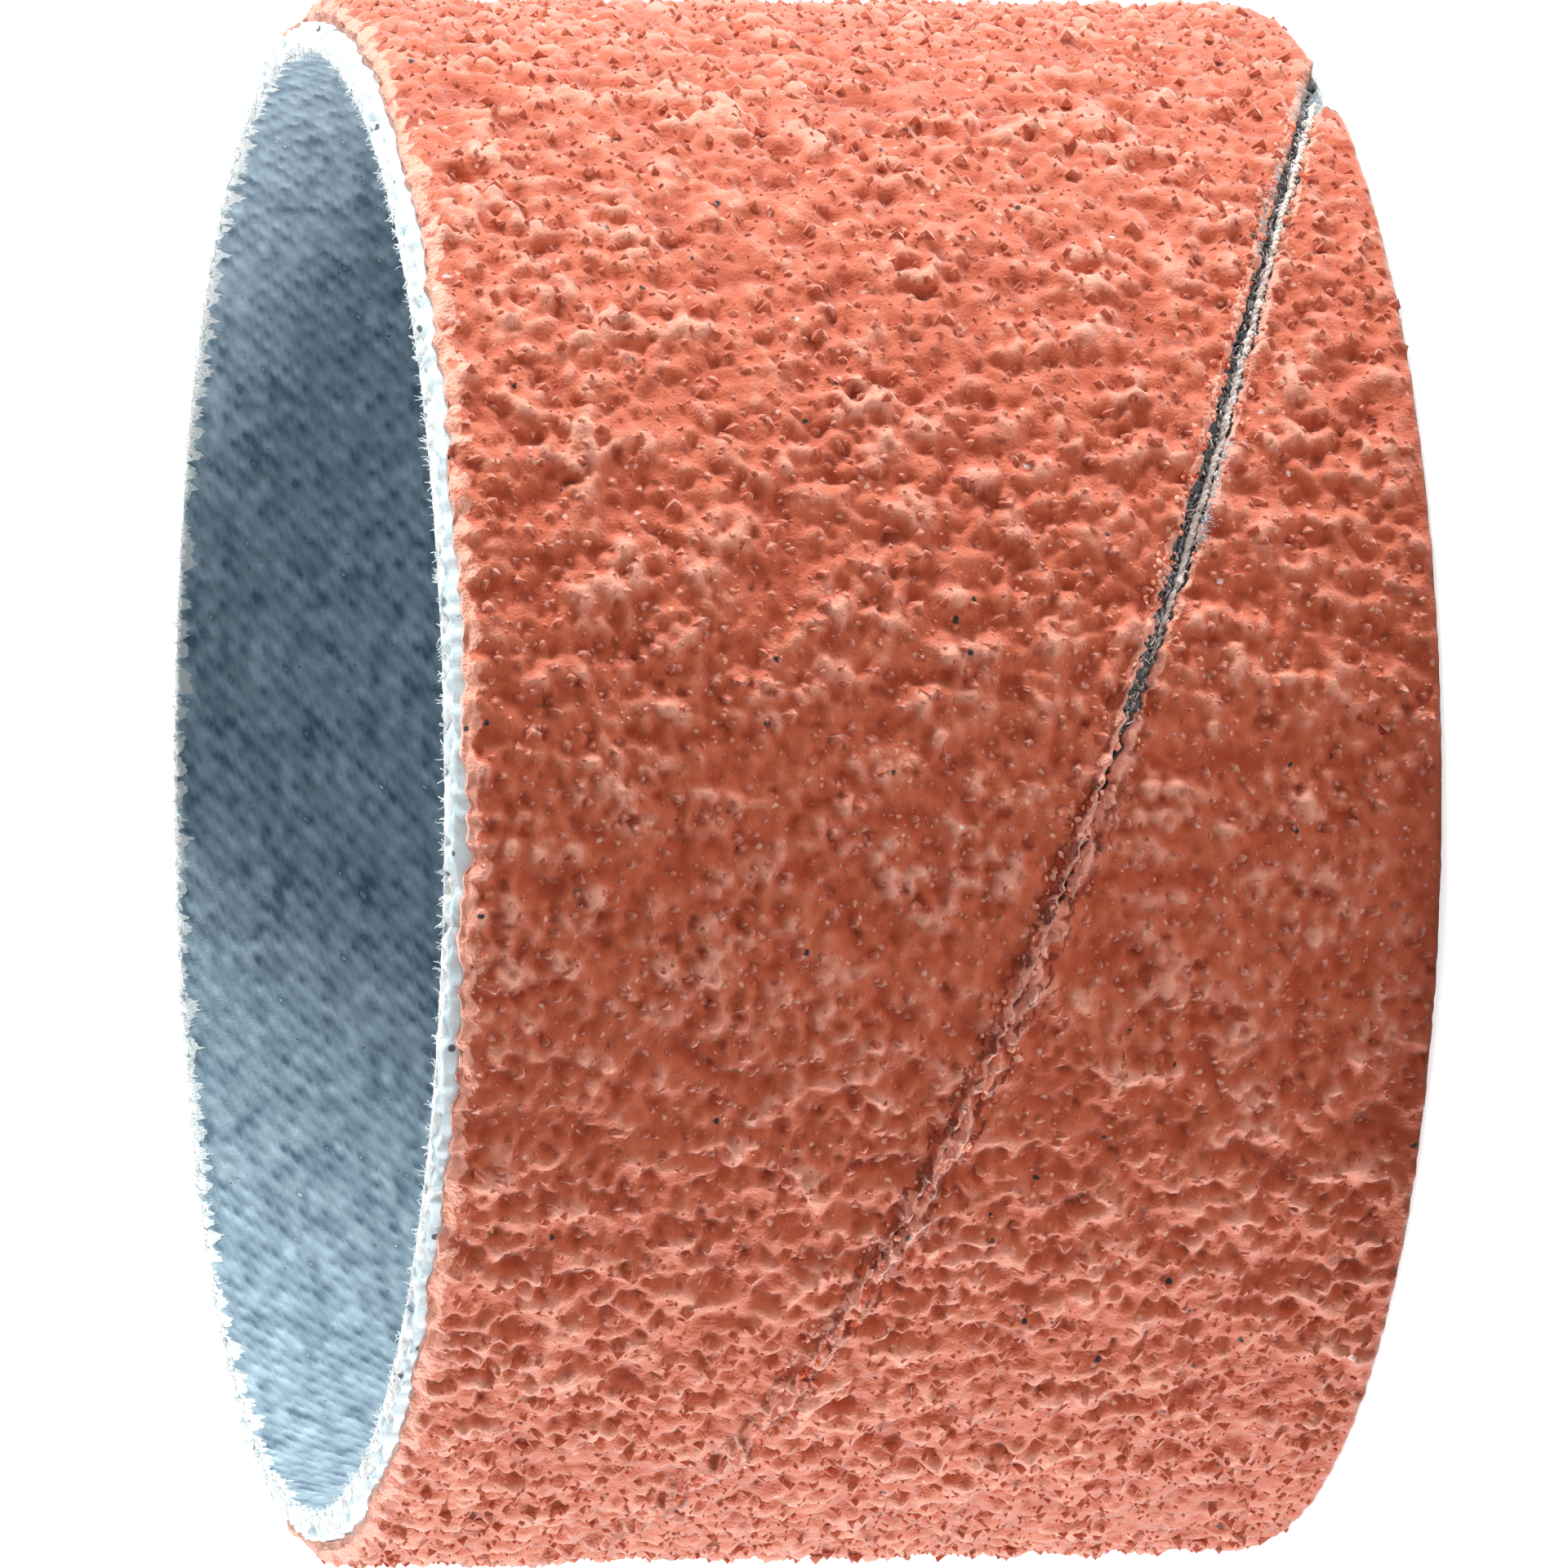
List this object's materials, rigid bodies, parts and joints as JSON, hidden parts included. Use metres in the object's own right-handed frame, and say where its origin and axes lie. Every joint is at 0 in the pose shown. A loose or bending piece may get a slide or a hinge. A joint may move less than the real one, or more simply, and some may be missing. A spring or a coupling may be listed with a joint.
{
  "type": "sanding sleeve",
  "caption": "Short abrasive sleeve: a band of coated cloth rolled into a ring with a slanted butt seam, slid over a drum to sand curved work.",
  "frame": {"origin": "centre of the square-cut end that the sleeve stands on", "axes": "+Z along the sleeve's axis towards the end whose slanted cut bares the cloth; the seam leaves the standing end 25.4 degrees from +X on the -Y side, and rises over the -Y side"},
  "size_m": [0.0487, 0.0488, 0.03],
  "materials": {
    "backing_cloth": "matte",
    "abrasive_grain": "matte"
  },
  "bodies": {
    "root": {"cloth_backing": "backing_cloth", "abrasive_coat": "abrasive_grain"}
  },
  "joints": []
}
